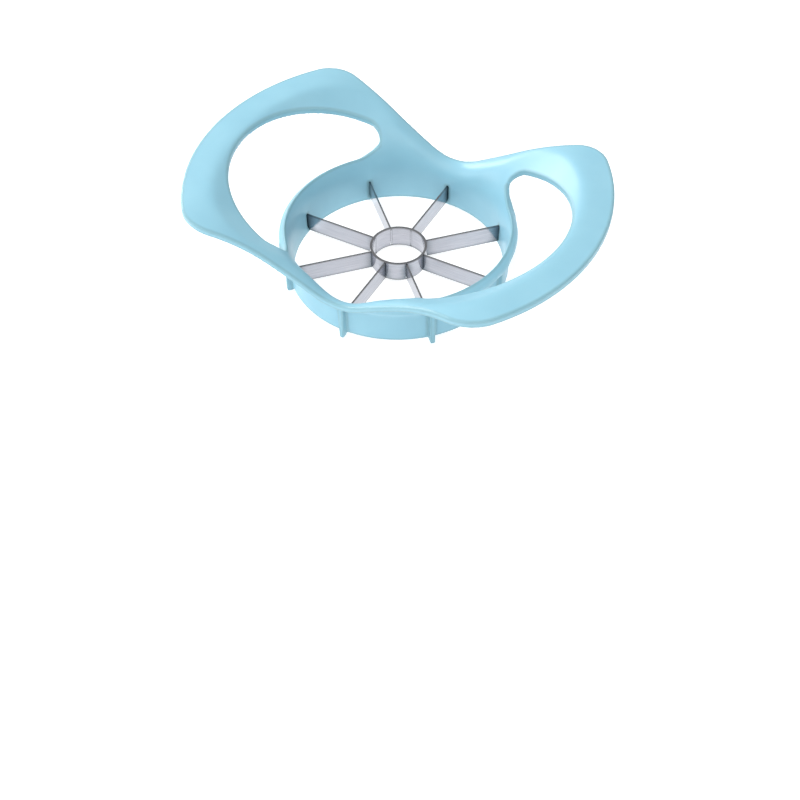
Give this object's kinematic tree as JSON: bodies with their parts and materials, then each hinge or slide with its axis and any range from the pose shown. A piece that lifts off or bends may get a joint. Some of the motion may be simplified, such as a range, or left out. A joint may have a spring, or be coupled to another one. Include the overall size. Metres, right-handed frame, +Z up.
{
  "type": "apple slicer and wedger",
  "caption": "Hand-pressed fruit slicer: moulded round frame with two swept-up finger-loop handles, radial steel blades and a thin core ring that cut a whole apple into wedges and core.",
  "frame": {"origin": "on the table under the centre of the cutting ring", "axes": "+Z up, X through the two handles, Y from front to back across the ring"},
  "size_m": [0.1744, 0.1186, 0.0449],
  "materials": {
    "frame_plastic": "smooth light blue moulded plastic",
    "steel": "bright stainless strip"
  },
  "bodies": {
    "root": {"frame": "frame_plastic", "core_ring": "steel", "blade_1": "steel", "blade_2": "steel", "blade_3": "steel", "blade_4": "steel", "blade_5": "steel", "blade_6": "steel", "blade_7": "steel", "blade_8": "steel"}
  },
  "joints": []
}
